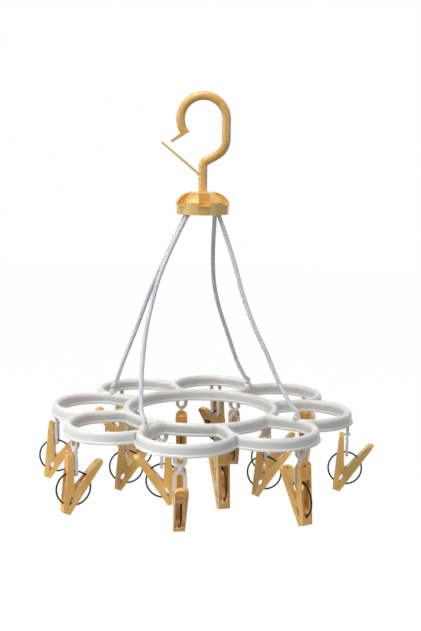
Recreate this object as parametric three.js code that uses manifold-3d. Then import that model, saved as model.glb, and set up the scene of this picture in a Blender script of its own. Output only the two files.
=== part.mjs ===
// Round clip hanger: a moulded flower frame that hangs on four cords from a domed hub, with a swivel hook
// above and sprung clips on short link chains below the petals and below the centre ring.
// Millimetres, +Z up. The origin is the seat inside the top of the hook, where the pole carries the hanger.
import * as THREE from 'three';
import { mergeVertices } from 'three/addons/utils/BufferGeometryUtils.js';
import Module from 'manifold-3d';

const wasm = await Module();
wasm.setup();
const DEG = Math.PI / 180;

// Clearances
const SEAT_GAP = 0.3; // between pieces that seat on each other
const SWIVEL_GAP = 0.35; // round the hook stem in the hub
const GATE_GAP = 0.6; // round the gate's root in the stem
const HANG_GAP = 0.6; // between a ring spring and the link bar it hangs on
const WIRE_GAP = 0.6; // round the spring wire in the slots of the moving leg
const JAW_GAP = 0.3; // between the closed jaws
const LINK_GAP = 1.4; // between a lower link and the leg that hangs beside it

// Hook of round rod, in the XZ plane
const ROD = 9; // rod diameter
const HOOK_INNER_R = 19; // inside radius of the round top
const HOOK_TURN = 214; // degrees from the straight side over the top to the tip
const HOOK_SIDE = 20; // straight side
const BEND_R = 18.5; // lower bend, on the rod's centre line
const BEND_TURN = 61; // degrees
const STEM_LENGTH = 28.6; // from the lower bend's corner to the crown of the hub
const LIP_LENGTH = 21; // flat lip across the tip
const LIP_THICK = 3.6;
const LIP_WIDTH = 9;

// Gate strip that closes the mouth of the hook
const GATE_LENGTH = 51;
const GATE_THICK = 2.2;
const GATE_WIDTH = 7;
const GATE_RISE = 39.5; // degrees above level, at rest
const GATE_DROP = 11.5; // below the lower bend's corner
const KNUCKLE_R = 1.9; // rounded root that sits in a groove in the stem

// Hub cap
const HUB_R = 26.9; // at the lower edge
const HUB_SHOULDER_R = 26.4; // where the skirt meets the dome
const SKIRT = 12.3; // height of the skirt
const HUB_HEIGHT = 23.4;
const DOME_REACH = 27.2; // half width of the ellipse that the dome is turned from
const HUB_WALL = 2.4;
const NOTCH_WIDTH = 11.5;
const NOTCH_FLOOR = 9.6; // above the lower edge
const NOTCH_BACK_R = 15; // radius of the notch's inner wall
const NOTCH_WALL = 1.6;
const NOTCHES = 6;
const FIRST_NOTCH = -67.5; // degrees from the twisted hub's X axis
const HUB_TWIST = -11; // degrees the hub has turned from the frame below it
const BOSSES = 4; // posts that hold the cords
const FIRST_BOSS = -22.5; // degrees from the twisted hub's X axis
const BOSS_R = 3.6;
const BOSS_PLACE_R = 19.5;
const BOSS_RECESS = 3.5; // above the lower edge of the hub
const WASHER_R = 9;
const WASHER_THICK = 2.4;
const HEAD_R = 6.6; // headed end of the stem
const HEAD_THICK = 3;

// Flower frame
const FRAME_DROP = 201.5; // from the lower edge of the hub to the top of the frame
const PETALS = 8;
const PETAL_PLACE_R = 110.4; // centres of the petal loops
const PETAL_LAP = 2.15; // how far a petal loop, on the band's centre line, runs past the middle of a wall
const RING_R = 78; // centre ring, on the band's centre line
const BAND = 8; // width of the band
const FRAME_HEIGHT = 12;
const FRAME_WALL = 1.2;
const FRAME_ROOF = 1.6;
const LIP_OUT = 1.2; // lip round the lower edge
const LIP_TALL = 1.5;
const TOP_ROUND = 2.2;
const CROSSBAR_R = 1.4; // bars in the hollow underside that the chains hang on
const CROSSBAR_UP = 5; // above the lower edge
const RIB_THICK = 1.8; // ribs that carry the outer ends of the inner crossbars
const COLLAR_R = 4; // collars on the walls that hold the cords
const COLLAR_TALL = 3;
const COLLAR_OUT = 0.6; // beyond the centres of the petal loops

// Cords
const CORD = 4.5;

// Links
const LINK_WIDE_R = 6.5; // round outer end of a link
const UPPER_NARROW_R = 2.5; // ends where the two links join
const LOWER_NARROW_R = 2.9;
const LINK_BAR = 2.8; // bar at the wide end
const LINK_EYE_R = 0.9; // narrow end of a link's opening
const LINK_THICK = 2.8;
const UPPER_PITCH = 19.9; // from the bar at the wide end to the middle of the narrow end
const LOWER_PITCH = 23.1;

// Clips, in a frame with the closed jaws on Z and the moving leg towards +X
const CLIP_WIDTH = 13;
const LEG_LENGTH = 59.5;
const CLIP_LEAN = 20; // degrees the jaw line leans, so that the clip's weight hangs under its link
const FULCRUM = 25; // height of the fulcrum above the jaw tips
const FLARE = 22; // degrees from the jaw line to the inside of a finger end
const BACK_FLARE = 14.4; // degrees to the outside of a leg
const JAW_THICK = 3.8; // at the tips
const THROAT_RISE = 2.6; // from the fulcrum to where the flare starts
const THROAT_HALF = 1.6;
const MOUTH_LOW = 10; // oval hollow between the jaws
const MOUTH_HIGH = 20;
const MOUTH_DEEP = 2.3;
const WEB = 2; // floor of the channel in the back of a leg
const FLANGE = 1.5; // side walls of that channel
const CHANNEL_LOW = 5;
const CHANNEL_HIGH = 49.5;
const SPRING_R = 17.3; // ring spring, on the wire's centre line
const WIRE = 1.5;
const SPRING_ROOT = 166; // degrees from the top to the end held in the hanging leg
const SPRING_END = 158; // degrees from the top to the end beside the moving leg

// How far each clip has turned on its chain, in degrees from facing straight out
const PETAL_CLIP_TURNS = [-1, 35, 150, 35, -176, 165, 12, 172];
const RING_CLIP_TURNS = [-15, -150, -15, -140, 165, -60, 180, 20];

// Cord routes between the hub and the frame, each in the plane of its own wall:
// share of the way out from boss to collar, offset to the side, height above the frame
const CORD_ROUTES = [
  { wall: -22.5, points: [[0.042, -3.4, 196], [0.222, -4, 154.5], [0.352, -5.4, 120], [0.499, -5, 89],
    [0.652, -3.8, 62.5], [0.782, -3, 37], [0.956, -0.8, 11]] },
  { wall: 67.5, points: [[0.037, -2, 196], [0.156, 5.5, 160], [0.298, 11, 125.5], [0.445, 12, 97.5],
    [0.635, 9, 63], [0.82, 5, 28.5], [0.962, 1, 10]] },
  { wall: 157.5, points: [[0.047, -3, 196], [0.314, -0.6, 147], [0.467, 0, 118.5], [0.679, 0.2, 72],
    [0.853, 1, 35], [0.962, 0.4, 11]] },
  { wall: 247.5, points: [[0.053, -7, 196], [0.379, -17, 144.5], [0.521, -18.2, 118.5],
    [0.657, -17.6, 92], [0.777, -14.8, 64], [0.875, -10.8, 41], [0.973, -4.6, 14]] },
];

// Places worked out from the sizes above
const ROD_R = ROD / 2;
const HOOK_R = HOOK_INNER_R + ROD_R;
const HOOK_CENTRE_Z = -HOOK_INNER_R;
const BEND_CENTRE = new THREE.Vector2(HOOK_R - BEND_R, HOOK_CENTRE_Z - HOOK_SIDE);
const BEND_END = BEND_CENTRE.clone().add(
  new THREE.Vector2(Math.cos(BEND_TURN * DEG), -Math.sin(BEND_TURN * DEG)).multiplyScalar(BEND_R));
const CORNER_Z = BEND_END.y - BEND_END.x / Math.tan(BEND_TURN * DEG);
const CROWN_Z = CORNER_Z - STEM_LENGTH;
const HUB_Z = CROWN_Z - HUB_HEIGHT;
// The ellipse of the dome passes through the shoulder and the crown
const DOME_RISE = (HUB_HEIGHT - SKIRT) / (1 - Math.sqrt(1 - (HUB_SHOULDER_R / DOME_REACH) ** 2));
const CROWN_THICK = HUB_HEIGHT - domeHeight(WASHER_R + SEAT_GAP, HUB_WALL);
const FRAME_TOP_Z = HUB_Z - FRAME_DROP;
const FRAME_Z = FRAME_TOP_Z - FRAME_HEIGHT;
const CROSSBAR_Z = FRAME_Z + CROSSBAR_UP;
const HALF_PETAL = Math.PI / PETALS;
const PETAL_R = PETAL_PLACE_R * Math.sin(HALF_PETAL) + PETAL_LAP;
const COLLAR_PLACE_R = PETAL_PLACE_R + COLLAR_OUT;
const HALF_BAND = BAND / 2;
const CHANNEL_HALF = HALF_BAND - FRAME_WALL;
const WIRE_R = WIRE / 2;
const JAW_HALF = JAW_GAP / 2;
// The clip's ring spring lies on the lower link's bar, close beside the inside of the hanging leg
const UPPER_TOP = CROSSBAR_R + SEAT_GAP + LINK_BAR / 2;
const JOIN_DROP = UPPER_PITCH - UPPER_TOP;
const HANG_DROP = JOIN_DROP + LOWER_PITCH - LINK_BAR / 2 - HANG_GAP - WIRE_R;
const THROAT_REACH = THROAT_HALF * Math.cos(FLARE * DEG) - THROAT_RISE * Math.sin(FLARE * DEG);
const HANG_ANGLE = FLARE * DEG - Math.asin((LINK_THICK / 2 + LINK_GAP - THROAT_REACH) / SPRING_R);

const white = new THREE.MeshStandardMaterial({ color: 0xf3f3f1, roughness: 0.32, metalness: 0 });
const amber = new THREE.MeshStandardMaterial({ color: 0xe3ab58, roughness: 0.36, metalness: 0 });
const cordWhite = new THREE.MeshStandardMaterial({ color: 0xe6eaee, roughness: 0.5, metalness: 0 });
const linkWhite = new THREE.MeshStandardMaterial({ color: 0xecebf0, roughness: 0.3, metalness: 0 });

// A closed geometry as a solid that can be joined and cut
function solid(geometry) {
  const bare = geometry.index ? geometry.toNonIndexed() : geometry.clone();
  bare.deleteAttribute('normal');
  bare.deleteAttribute('uv');
  const merged = mergeVertices(bare);
  return new wasm.Manifold(new wasm.Mesh({
    numProp: 3,
    vertProperties: new Float32Array(merged.attributes.position.array),
    triVerts: new Uint32Array(merged.index.array),
  }));
}

// A solid as a geometry with flat faces
function geometryOf(shape) {
  const mesh = shape.getMesh();
  const geometry = new THREE.BufferGeometry();
  geometry.setAttribute('position', new THREE.BufferAttribute(mesh.vertProperties, 3));
  geometry.setIndex(new THREE.BufferAttribute(mesh.triVerts, 1));
  const flat = geometry.toNonIndexed();
  flat.computeVertexNormals();
  return flat;
}

function box(sizeX, sizeY, sizeZ) {
  return new THREE.BoxGeometry(sizeX, sizeY, sizeZ);
}

// An upright cylinder whose lower face is at z = 0
function post(radius, height) {
  return new THREE.CylinderGeometry(radius, radius, height, 12)
    .rotateX(Math.PI / 2).translate(0, 0, height / 2);
}

// A regular section drawn along a curve
function tube(curve, radius, sides, steps) {
  const section = new THREE.Shape();
  for (let i = 0; i < sides; i += 1) {
    const angle = ((i + 0.5) / sides) * 2 * Math.PI;
    const point = [radius * Math.cos(angle), radius * Math.sin(angle)];
    if (i === 0) section.moveTo(...point);
    else section.lineTo(...point);
  }
  section.closePath();
  return new THREE.ExtrudeGeometry(section, { steps, bevelEnabled: false, extrudePath: curve });
}

// A side outline in X and Z, drawn out to a width along Y
function slab(points, width) {
  const outline = new THREE.Shape(points.map(([x, z]) => new THREE.Vector2(x, z)));
  return new THREE.ExtrudeGeometry(outline, { depth: width, bevelEnabled: false })
    .rotateX(Math.PI / 2).translate(0, width / 2, 0);
}

// A profile of radius and height turned about Z, closed on itself or ending on the axis
function turned(profile, sides) {
  const points = profile.map(([r, z]) => new THREE.Vector2(r, z));
  return new THREE.LatheGeometry(points, sides).rotateX(Math.PI / 2);
}

// Centre line of the hook: tip, round top, straight side, lower bend, run to the stem
class HookLine extends THREE.Curve {
  getPoint(t) {
    const top = HOOK_TURN * DEG * HOOK_R;
    const bend = BEND_TURN * DEG * BEND_R;
    const run = BEND_END.x / Math.sin(BEND_TURN * DEG);
    let s = t * (top + HOOK_SIDE + bend + run);
    if (s <= top) {
      const angle = HOOK_TURN * DEG - s / HOOK_R;
      return new THREE.Vector3(HOOK_R * Math.cos(angle), 0, HOOK_CENTRE_Z + HOOK_R * Math.sin(angle));
    }
    s -= top;
    if (s <= HOOK_SIDE) return new THREE.Vector3(HOOK_R, 0, HOOK_CENTRE_Z - s);
    s -= HOOK_SIDE;
    if (s <= bend) {
      const angle = s / BEND_R;
      return new THREE.Vector3(
        BEND_CENTRE.x + BEND_R * Math.cos(angle), 0, BEND_CENTRE.y - BEND_R * Math.sin(angle));
    }
    s -= bend;
    return new THREE.Vector3(
      BEND_END.x - s * Math.sin(BEND_TURN * DEG), 0, BEND_END.y - s * Math.cos(BEND_TURN * DEG));
  }
}

// Centre line of the ring spring, from its end in the hanging leg over the top to the moving leg
class SpringLine extends THREE.Curve {
  getPoint(t) {
    const angle = (t * (SPRING_ROOT + SPRING_END) - SPRING_ROOT) * DEG;
    return new THREE.Vector3(SPRING_R * Math.sin(angle), 0, FULCRUM + SPRING_R * Math.cos(angle));
  }
}

function gateRoot() {
  return new THREE.Vector3(-ROD_R + KNUCKLE_R / 2 - SEAT_GAP, 0, CORNER_Z - GATE_DROP);
}

function makeHook() {
  const stemEnd = CROWN_Z - CROWN_THICK - 2 * SEAT_GAP - WASHER_THICK;
  const bend = solid(tube(new HookLine(), ROD_R, 10, 34));
  const stem = solid(post(ROD_R, CORNER_Z - stemEnd + HEAD_THICK / 2)
    .translate(0, 0, stemEnd - HEAD_THICK / 2));
  const corner = solid(new THREE.SphereGeometry(ROD_R, 12, 6).rotateX(Math.PI / 2).translate(0, 0, CORNER_Z));
  const head = solid(post(HEAD_R, HEAD_THICK).translate(0, 0, stemEnd - HEAD_THICK));
  const lipMiddle = HOOK_INNER_R + LIP_LENGTH / 2;
  const lip = solid(box(LIP_LENGTH, LIP_WIDTH, LIP_THICK).translate(lipMiddle, 0, LIP_THICK / 4)
    .rotateY(-HOOK_TURN * DEG).translate(0, 0, HOOK_CENTRE_Z));
  const root = gateRoot();
  const groove = solid(new THREE.CylinderGeometry(KNUCKLE_R + GATE_GAP, KNUCKLE_R + GATE_GAP, 2 * ROD, 12)
    .translate(root.x, 0, root.z));
  return geometryOf(bend.add(stem).add(corner).add(head).add(lip).subtract(groove));
}

function makeGate() {
  const strip = solid(box(GATE_LENGTH, GATE_WIDTH, GATE_THICK).translate(-GATE_LENGTH / 2, 0, 0));
  const knuckle = solid(new THREE.CylinderGeometry(KNUCKLE_R, KNUCKLE_R, GATE_WIDTH, 12));
  const root = gateRoot();
  return geometryOf(strip.add(knuckle)).rotateY(GATE_RISE * DEG).translate(root.x, root.y, root.z);
}

// Height of the dome at a radius, on its outside or a wall's thickness in from it
function domeHeight(radius, inset) {
  const share = Math.sqrt(1 - (radius / (DOME_REACH - inset)) ** 2);
  return HUB_HEIGHT - DOME_RISE + (DOME_RISE - inset) * share;
}

// Profile of the dome between two radii
function domeProfile(from, to, inset) {
  const steps = 5;
  const reach = DOME_REACH - inset;
  const first = Math.acos(from / reach);
  const last = Math.acos(to / reach);
  const points = [];
  for (let i = 0; i <= steps; i += 1) {
    const radius = reach * Math.cos(first + (last - first) * (i / steps));
    points.push([radius, domeHeight(radius, inset)]);
  }
  return points;
}

function makeHub() {
  const stemHole = ROD_R + SWIVEL_GAP;
  const ceiling = HUB_HEIGHT - CROWN_THICK;
  const outside = [[HUB_R, 0], ...domeProfile(HUB_SHOULDER_R, stemHole, 0)];
  const inside = [[stemHole, ceiling],
    ...domeProfile(WASHER_R + SEAT_GAP, HUB_SHOULDER_R - HUB_WALL, HUB_WALL), [HUB_R - HUB_WALL, 0]];
  const shell = [...outside, ...inside, outside[0]];
  const envelope = solid(turned([[0, 0], ...outside, [0, HUB_HEIGHT]], 24));
  let hub = solid(turned(shell, 24));
  for (let i = 0; i < BOSSES; i += 1) {
    const turn = (HUB_TWIST + FIRST_BOSS + 360 / BOSSES * i) * DEG;
    const boss = solid(post(BOSS_R, HUB_HEIGHT - BOSS_RECESS).translate(BOSS_PLACE_R, 0, BOSS_RECESS)
      .rotateZ(turn)).intersect(envelope);
    hub = hub.add(boss);
  }
  const pocketFrom = NOTCH_BACK_R - NOTCH_WALL;
  for (let i = 0; i < NOTCHES; i += 1) {
    const turn = (HUB_TWIST + FIRST_NOTCH + 360 / NOTCHES * i) * DEG;
    const lining = solid(box(
      HUB_R - pocketFrom, NOTCH_WIDTH + 2 * NOTCH_WALL, HUB_HEIGHT - NOTCH_FLOOR + NOTCH_WALL)
      .translate((HUB_R + pocketFrom) / 2, 0, (HUB_HEIGHT + NOTCH_FLOOR - NOTCH_WALL) / 2)
      .rotateZ(turn));
    const notch = solid(box(HUB_R, NOTCH_WIDTH, HUB_HEIGHT).translate(NOTCH_BACK_R + HUB_R / 2, 0,
      NOTCH_FLOOR + HUB_HEIGHT / 2).rotateZ(turn));
    hub = hub.add(lining.intersect(envelope)).subtract(notch);
  }
  return geometryOf(hub).translate(0, 0, HUB_Z);
}

function makeWasher() {
  const inner = ROD_R + SWIVEL_GAP;
  const top = CROWN_Z - CROWN_THICK - SEAT_GAP;
  return turned([[inner, top - WASHER_THICK], [WASHER_R, top - WASHER_THICK], [WASHER_R, top], [inner, top],
    [inner, top - WASHER_THICK]], 20);
}

// Edge of one petal's hole, a distance in from the band's centre line: petal loop, walls, centre ring
function petalHole(inset, petal) {
  const steps = 18;
  const turn = petal * 2 * HALF_PETAL;
  const points = [];
  for (let i = 0; i < steps; i += 1) {
    const angle = (i / steps) * 2 * Math.PI;
    const dx = Math.cos(angle);
    const dy = Math.sin(angle);
    let reach = PETAL_R - inset;
    const towardsWall = Math.abs(dy) * Math.cos(HALF_PETAL) - dx * Math.sin(HALF_PETAL);
    if (towardsWall > 0) {
      reach = Math.min(reach, (PETAL_PLACE_R * Math.sin(HALF_PETAL) - inset) / towardsWall);
    }
    const inner = RING_R + inset;
    const chord = (PETAL_PLACE_R * dx) ** 2 - PETAL_PLACE_R ** 2 + inner ** 2;
    if (dx < 0 && chord > 0) reach = Math.min(reach, -PETAL_PLACE_R * dx - Math.sqrt(chord));
    points.push(new THREE.Vector2(PETAL_PLACE_R + reach * dx, reach * dy)
      .rotateAround(new THREE.Vector2(), turn));
  }
  return points.reverse();
}

// Outline of the flower, a distance out from the band's centre line: one arc for each petal
function flowerOutline(outset) {
  const steps = 14;
  const radius = PETAL_R + outset;
  const wallFrom = PETAL_PLACE_R * Math.sin(HALF_PETAL);
  const cusp = PETAL_PLACE_R * Math.cos(HALF_PETAL) + Math.sqrt(radius ** 2 - wallFrom ** 2);
  const sweep = Math.atan2(cusp * Math.sin(HALF_PETAL), cusp * Math.cos(HALF_PETAL) - PETAL_PLACE_R);
  const points = [];
  for (let petal = 0; petal < PETALS; petal += 1) {
    for (let i = 0; i < steps; i += 1) {
      const angle = (2 * i / steps - 1) * sweep;
      points.push(new THREE.Vector2(PETAL_PLACE_R + radius * Math.cos(angle), radius * Math.sin(angle))
        .rotateAround(new THREE.Vector2(), petal * 2 * HALF_PETAL));
    }
  }
  return points;
}

function ringHole(inset) {
  const steps = 24;
  const points = [];
  for (let i = 0; i < steps; i += 1) {
    const angle = -(i / steps) * 2 * Math.PI;
    points.push(new THREE.Vector2((RING_R - inset) * Math.cos(angle), (RING_R - inset) * Math.sin(angle)));
  }
  return points;
}

// All edges of the band at one half width, the outline first and then the holes
function bandEdges(half) {
  const holes = [ringHole(half)];
  for (let petal = 0; petal < PETALS; petal += 1) holes.push(petalHole(half, petal));
  return [flowerOutline(half), ...holes];
}

// The hat section of the band: half width and height, from the roof of its hollow round to its top
function bandLevels() {
  return [
    [CHANNEL_HALF, FRAME_HEIGHT - FRAME_ROOF],
    [CHANNEL_HALF, 0],
    [HALF_BAND + LIP_OUT, 0],
    [HALF_BAND + LIP_OUT, LIP_TALL],
    [HALF_BAND, LIP_TALL],
    [HALF_BAND, FRAME_HEIGHT - TOP_ROUND],
    [HALF_BAND - TOP_ROUND, FRAME_HEIGHT],
  ];
}

// The hollow band of the flower as one closed skin
function makeBand() {
  const positions = [];
  const corner = (point, z) => positions.push(point.x, point.y, z);
  const rings = bandLevels().map(([half, z]) => ({ edges: bandEdges(half), z }));
  for (let level = 0; level + 1 < rings.length; level += 1) {
    const low = rings[level];
    const high = rings[level + 1];
    low.edges.forEach((edge, e) => {
      edge.forEach((point, i) => {
        const j = (i + 1) % edge.length;
        corner(point, low.z);
        corner(edge[j], low.z);
        corner(high.edges[e][j], high.z);
        corner(point, low.z);
        corner(high.edges[e][j], high.z);
        corner(high.edges[e][i], high.z);
      });
    });
  }
  const cap = ({ edges, z }, upwards) => {
    const points = edges.flat();
    for (const [a, b, c] of THREE.ShapeUtils.triangulateShape(edges[0], edges.slice(1))) {
      for (const index of upwards ? [a, b, c] : [c, b, a]) corner(points[index], z);
    }
  };
  cap(rings[0], false);
  cap(rings[rings.length - 1], true);
  const geometry = new THREE.BufferGeometry();
  geometry.setAttribute('position', new THREE.Float32BufferAttribute(positions, 3));
  return solid(geometry);
}

// A short bar across the hollow of the band, along the radius
function crossbar(from, to, turn) {
  return solid(new THREE.CylinderGeometry(CROSSBAR_R, CROSSBAR_R, to - from, 8).rotateZ(Math.PI / 2)
    .translate((from + to) / 2, 0, CROSSBAR_UP).rotateZ(turn));
}

function makeFrame() {
  let frame = makeBand();
  const bite = FRAME_WALL / 2;
  const petalEnd = PETAL_PLACE_R + PETAL_R;
  const ribAt = RING_R + CHANNEL_HALF + RIB_THICK;
  const ribReach = PETAL_PLACE_R * Math.sin(HALF_PETAL) - Math.sqrt((PETAL_R - CHANNEL_HALF) ** 2
    - (PETAL_PLACE_R * Math.cos(HALF_PETAL) - ribAt) ** 2);
  for (let i = 0; i < PETALS; i += 1) {
    const petalTurn = i * 2 * HALF_PETAL;
    const wallTurn = petalTurn + HALF_PETAL;
    const rib = solid(box(RIB_THICK, 2 * (ribReach + bite), FRAME_HEIGHT - FRAME_ROOF / 2)
      .translate(ribAt + RIB_THICK / 2, 0, (FRAME_HEIGHT - FRAME_ROOF / 2) / 2).rotateZ(wallTurn));
    frame = frame.add(crossbar(petalEnd - CHANNEL_HALF - bite, petalEnd + CHANNEL_HALF + bite, petalTurn))
      .add(rib).add(crossbar(RING_R - CHANNEL_HALF - bite, ribAt + RIB_THICK / 2, wallTurn));
  }
  for (const { wall } of CORD_ROUTES) {
    frame = frame.add(solid(post(COLLAR_R, COLLAR_TALL + FRAME_ROOF / 2)
      .translate(COLLAR_PLACE_R, 0, FRAME_HEIGHT - FRAME_ROOF / 2).rotateZ(wall * DEG)));
  }
  return geometryOf(frame).translate(0, 0, FRAME_Z);
}

function makeCord({ wall, points }) {
  const bossTurn = HUB_TWIST * DEG;
  const bossAt = [BOSS_PLACE_R * Math.cos(bossTurn), BOSS_PLACE_R * Math.sin(bossTurn)];
  const start = FRAME_DROP + BOSS_RECESS - SEAT_GAP;
  const end = COLLAR_TALL + SEAT_GAP;
  const way = points.map(([share, side, up]) => [bossAt[0] + share * (COLLAR_PLACE_R - bossAt[0]), side, up]);
  const route = [[...bossAt, start], [...bossAt, start - CORD], ...way,
    [COLLAR_PLACE_R, 0, end + CORD], [COLLAR_PLACE_R, 0, end]];
  const turn = new THREE.Vector3(0, 0, 1);
  const curve = new THREE.CatmullRomCurve3(route.map(([x, y, z]) =>
    new THREE.Vector3(x, y, FRAME_TOP_Z + z).applyAxisAngle(turn, wall * DEG)), false, 'centripetal');
  return tube(curve, CORD / 2, 8, 22);
}

// A flat drop-shaped link in the YZ plane, its narrow end round the origin and its wide end above
function makeLink(pitch, narrowR) {
  const wideAt = pitch + LINK_BAR / 2 - LINK_WIDE_R;
  const drop = (path, wide, narrow, narrowAt) => {
    const slope = Math.asin((wide - narrow) / (wideAt - narrowAt));
    path.absarc(0, wideAt, wide, -slope, Math.PI + slope, false);
    path.absarc(0, narrowAt, narrow, Math.PI + slope, 2 * Math.PI - slope, false);
    return path;
  };
  const shape = drop(new THREE.Shape(), LINK_WIDE_R, narrowR, 0);
  shape.holes.push(drop(new THREE.Path(), LINK_WIDE_R - LINK_BAR, LINK_EYE_R, narrowR + LINK_EYE_R));
  return new THREE.ExtrudeGeometry(shape, { depth: LINK_THICK, bevelEnabled: false, curveSegments: 3 })
    .translate(0, 0, -LINK_THICK / 2).rotateX(Math.PI / 2).rotateZ(Math.PI / 2);
}

// Upper and lower link of one chain, narrow ends together, the lower one turned to face its clip
function makeChain(turn) {
  const upper = solid(makeLink(UPPER_PITCH, UPPER_NARROW_R));
  const lower = solid(makeLink(LOWER_PITCH, LOWER_NARROW_R).rotateX(Math.PI).rotateZ(turn));
  return geometryOf(upper.add(lower)).translate(0, 0, -JOIN_DROP);
}

// One leg of a clip, on the +X side of the jaw line
function makeLeg() {
  const flare = Math.tan(FLARE * DEG);
  const back = Math.tan(BACK_FLARE * DEG);
  const throat = FULCRUM + THROAT_RISE;
  const inside = (z) => THROAT_HALF + (z - throat) * flare;
  const outside = (z) => JAW_THICK + z * back;
  const nose = LEG_LENGTH - WEB;
  const mouthMiddle = (MOUTH_LOW + MOUTH_HIGH) / 2;
  const mouthShoulder = (MOUTH_HIGH - MOUTH_LOW) * 0.35;
  const outline = [
    [JAW_HALF, 0], [JAW_THICK, 0], [outside(nose), nose], [outside(nose) - WEB / 2, LEG_LENGTH],
    [inside(nose) + WEB / 2, LEG_LENGTH], [inside(nose), nose], [THROAT_HALF, throat],
    [JAW_HALF, FULCRUM - JAW_HALF], [JAW_HALF, MOUTH_HIGH], [MOUTH_DEEP * 0.8, mouthMiddle + mouthShoulder],
    [MOUTH_DEEP, mouthMiddle], [MOUTH_DEEP * 0.8, mouthMiddle - mouthShoulder], [JAW_HALF, MOUTH_LOW],
  ];
  const floorAt = WEB / Math.cos(FLARE * DEG);
  const beyond = outside(LEG_LENGTH) + WEB;
  const channel = [
    [MOUTH_DEEP + WEB, CHANNEL_LOW], [MOUTH_DEEP + WEB, FULCRUM],
    [inside(CHANNEL_HIGH) + floorAt, CHANNEL_HIGH], [beyond, CHANNEL_HIGH], [beyond, CHANNEL_LOW],
  ];
  return solid(slab(outline, CLIP_WIDTH)).subtract(solid(slab(channel, CLIP_WIDTH - 2 * FLANGE)));
}

// A slot along the ring spring, at an angle from its top
function springSlot(angle, length) {
  const sag = length ** 2 / (8 * SPRING_R);
  const across = WIRE + 2 * WIRE_GAP;
  return solid(box(length, across, across + 2 * sag).translate(0, 0, SPRING_R).rotateY(angle)
    .translate(0, 0, FULCRUM));
}

// Moves clip shapes from the jaw frame to the point where the ring spring lies on its link
function hungClip(shape) {
  return geometryOf(shape)
    .translate(SPRING_R * Math.sin(HANG_ANGLE), 0, -FULCRUM - SPRING_R * Math.cos(HANG_ANGLE));
}

function makeSprungLeg() {
  const leg = solid(geometryOf(makeLeg()).rotateZ(Math.PI));
  return hungClip(leg.add(solid(tube(new SpringLine(), WIRE_R, 4, 20))));
}

function makeMovingLeg() {
  const floorAngle = FLARE * DEG + Math.asin((THROAT_REACH + WEB / 2) / SPRING_R);
  const upper = springSlot(floorAngle, 3 * WEB);
  const lower = springSlot(Math.PI - Math.asin(MOUTH_DEEP / SPRING_R), 2 * (MOUTH_DEEP + WEB));
  return hungClip(makeLeg().subtract(upper).subtract(lower));
}

function mesh(name, geometry, material) {
  const piece = new THREE.Mesh(geometry, material);
  piece.name = name;
  return piece;
}

const sprungLeg = makeSprungLeg();
const movingLeg = makeMovingLeg();

// One clip on its chain: the group stands on the crossbar, with +X straight out from the axis
function makeClip(place, number, radius, angle, turn) {
  const station = new THREE.Group();
  station.position.set(radius * Math.cos(angle), radius * Math.sin(angle), CROSSBAR_Z);
  station.rotation.z = angle;
  const facing = new THREE.Group();
  facing.position.z = -HANG_DROP;
  facing.rotation.z = turn;
  const hung = new THREE.Group();
  hung.rotation.y = CLIP_LEAN * DEG;
  hung.add(mesh(`hanging_leg_${place}_${number}`, sprungLeg, amber));
  hung.add(mesh(`moving_leg_${place}_${number}`, movingLeg, amber));
  facing.add(hung);
  station.add(facing, mesh(`link_chain_${place}_${number}`, makeChain(turn), linkWhite));
  return station;
}

const hanger = new THREE.Group();
hanger.add(mesh('hook', makeHook(), amber));
hanger.add(mesh('hook_gate', makeGate(), amber));
hanger.add(mesh('swivel_washer', makeWasher(), amber));
hanger.add(mesh('hub_cap', makeHub(), amber));
hanger.add(mesh('flower_frame', makeFrame(), white));
CORD_ROUTES.forEach((route, i) => hanger.add(mesh(`cord_${i + 1}`, makeCord(route), cordWhite)));
PETAL_CLIP_TURNS.forEach((turn, i) => {
  hanger.add(makeClip('petal', i + 1, PETAL_PLACE_R + PETAL_R, i * 2 * HALF_PETAL, turn * DEG));
});
RING_CLIP_TURNS.forEach((turn, i) => {
  hanger.add(makeClip('ring', i + 1, RING_R, (2 * i + 1) * HALF_PETAL, turn * DEG));
});

export default hanger;
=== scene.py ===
"""Round clip hanger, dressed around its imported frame: hook, hub, cords, flower frame, chains and clips."""
import logging
import math
from contextlib import contextmanager
from dataclasses import dataclass
from enum import Enum
from typing import Callable, Iterator, Sequence

import bmesh
import bpy
from mathutils import Matrix, Vector


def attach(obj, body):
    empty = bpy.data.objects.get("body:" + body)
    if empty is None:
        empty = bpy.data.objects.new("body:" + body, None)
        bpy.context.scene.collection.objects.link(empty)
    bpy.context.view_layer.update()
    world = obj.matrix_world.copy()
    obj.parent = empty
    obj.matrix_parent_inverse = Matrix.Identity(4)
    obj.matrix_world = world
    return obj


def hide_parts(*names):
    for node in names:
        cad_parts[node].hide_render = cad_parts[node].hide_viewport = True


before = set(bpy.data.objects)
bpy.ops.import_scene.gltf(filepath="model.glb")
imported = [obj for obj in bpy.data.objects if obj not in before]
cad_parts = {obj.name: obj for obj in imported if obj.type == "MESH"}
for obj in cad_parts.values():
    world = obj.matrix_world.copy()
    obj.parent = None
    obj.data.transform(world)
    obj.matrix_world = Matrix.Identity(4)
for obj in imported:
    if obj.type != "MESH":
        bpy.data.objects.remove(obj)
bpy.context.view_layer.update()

log = logging.getLogger("round_clip_hanger")

Piece = bpy.types.Object
Point = tuple[float, float, float]
Test = Callable[[Vector, Vector], bool]

# Pieces are modelled in millimetres and brought to metres as they are put in place
MM = 0.001
TO_METRES = Matrix.Scale(MM, 4)
HERE = Matrix.Identity(4)
X_AXIS, Y_AXIS, Z_AXIS = Vector((1, 0, 0)), Vector((0, 1, 0)), Vector((0, 0, 1))
# In millimetres: what is this close to a place counts as there, and corners this close are one
NEAR = 0.1
MERGE = 0.001
# A direction counts as along an axis, and a face as square to one, above these cosines
ALONG = 0.9
SQUARE = 0.99
# A line that points towards a wall by less than this share of its length doesn't meet it
GRAZING = 0.02
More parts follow.
